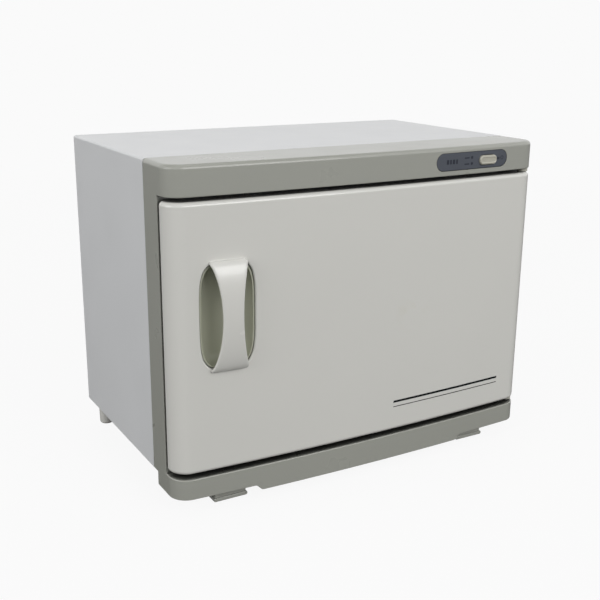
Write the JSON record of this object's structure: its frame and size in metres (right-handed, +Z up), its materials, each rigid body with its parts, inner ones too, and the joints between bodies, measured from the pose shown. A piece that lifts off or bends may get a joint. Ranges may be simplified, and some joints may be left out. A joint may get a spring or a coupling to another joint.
{
  "type": "hot towel cabinet",
  "caption": "Countertop hot towel cabinet: white steel casing, grey front frame, bowed side-hung door with a recessed strap handle, rocker switch, heated towel chamber and drip tray.",
  "frame": {"origin": "centre of the bottom of the object's box, on the surface that the feet stand on", "axes": "+X to the right as seen from the door, -Y out of the door, +Z up"},
  "size_m": [0.45, 0.2974, 0.3546],
  "materials": {
    "white_paint": "satin powder coat",
    "white_plastic": "glossy moulded plastic",
    "grey_plastic": "semi-gloss moulded plastic",
    "olive_plastic": "satin moulded plastic",
    "slate_label": "satin printed overlay",
    "cream_plastic": "glossy",
    "black_plastic": "matt",
    "nylon": "satin",
    "aluminium": "mill finish",
    "zinc_steel": "zinc plated",
    "chromed_wire": "polished",
    "foam": "matt fibre mat",
    "glass": "clear",
    "ceramic": "matt",
    "magnet": "matt ferrite",
    "silicone": "matt",
    "red_sleeve": "satin",
    "blue_sleeve": "satin",
    "brown_sleeve": "satin"
  },
  "bodies": {
    "cabinet": {"ballast": "zinc_steel", "base_pan": "zinc_steel", "catch_magnet": "magnet", "control_label": "slate_label", "cord_grommet": "black_plastic", "electrics_plate": "zinc_steel", "front_foot_left": "grey_plastic", "front_foot_right": "grey_plastic", "front_frame": "grey_plastic", "heat_shield": "zinc_steel", "heater_clamp_1": "aluminium", "heater_clamp_2": "aluminium", "heater_element": "zinc_steel", "heater_lead": "red_sleeve", "hinge_pin_bottom": "zinc_steel", "hinge_pin_top": "zinc_steel", "inner_liner": "aluminium", "insulation_left": "foam", "insulation_rear": "foam", "insulation_right": "foam", "insulation_top": "foam", "lamp_guard": "aluminium", "lamp_holder_left": "white_plastic", "lamp_holder_right": "white_plastic", "lamp_lead": "blue_sleeve", "outer_casing": "white_paint", "rear_foot_left": "white_plastic", "rear_foot_right": "white_plastic", "rear_panel": "white_paint", "rear_screw_1": "zinc_steel", "rear_screw_2": "zinc_steel", "rear_screw_3": "zinc_steel", "rear_screw_4": "zinc_steel", "starter": "white_plastic", "starter_socket": "black_plastic", "switch_housing": "black_plastic", "switch_lead": "brown_sleeve", "terminal_block": "white_plastic", "thermal_fuse": "ceramic", "thermostat": "ceramic", "towel_rack": "chromed_wire", "tray_runner_left": "zinc_steel", "tray_runner_right": "zinc_steel", "uv_lamp": "glass"},
    "door": {"door_shell": "white_plastic", "door_inner_panel": "white_plastic", "door_insulation": "foam", "door_gasket": "silicone", "handle_cup": "olive_plastic", "handle_strap": "white_plastic", "strike_plate": "zinc_steel", "hinge_bush_top": "nylon", "hinge_bush_bottom": "nylon", "door_screw_1": "zinc_steel", "door_screw_2": "zinc_steel", "door_screw_3": "zinc_steel", "door_screw_4": "zinc_steel"},
    "rocker": {"rocker_button": "cream_plastic"},
    "drip_tray": {"drip_tray": "grey_plastic"}
  },
  "joints": [
    {"name": "door_hinge", "type": "hinge", "parent": "cabinet", "child": "door", "pos_m": [0.2165, -0.11934, 0.1806], "axis": [0, 0, 1], "range_deg": [0, 120]},
    {"name": "rocker_tilt", "type": "hinge", "parent": "cabinet", "child": "rocker", "pos_m": [0.1493, -0.13034, 0.3382], "axis": [0, 0, 1], "range_deg": [-5, 5]},
    {"name": "drip_tray_slide", "type": "slide", "parent": "cabinet", "child": "drip_tray", "axis": [0, -1, 0], "range_m": [0, 0.12]}
  ]
}
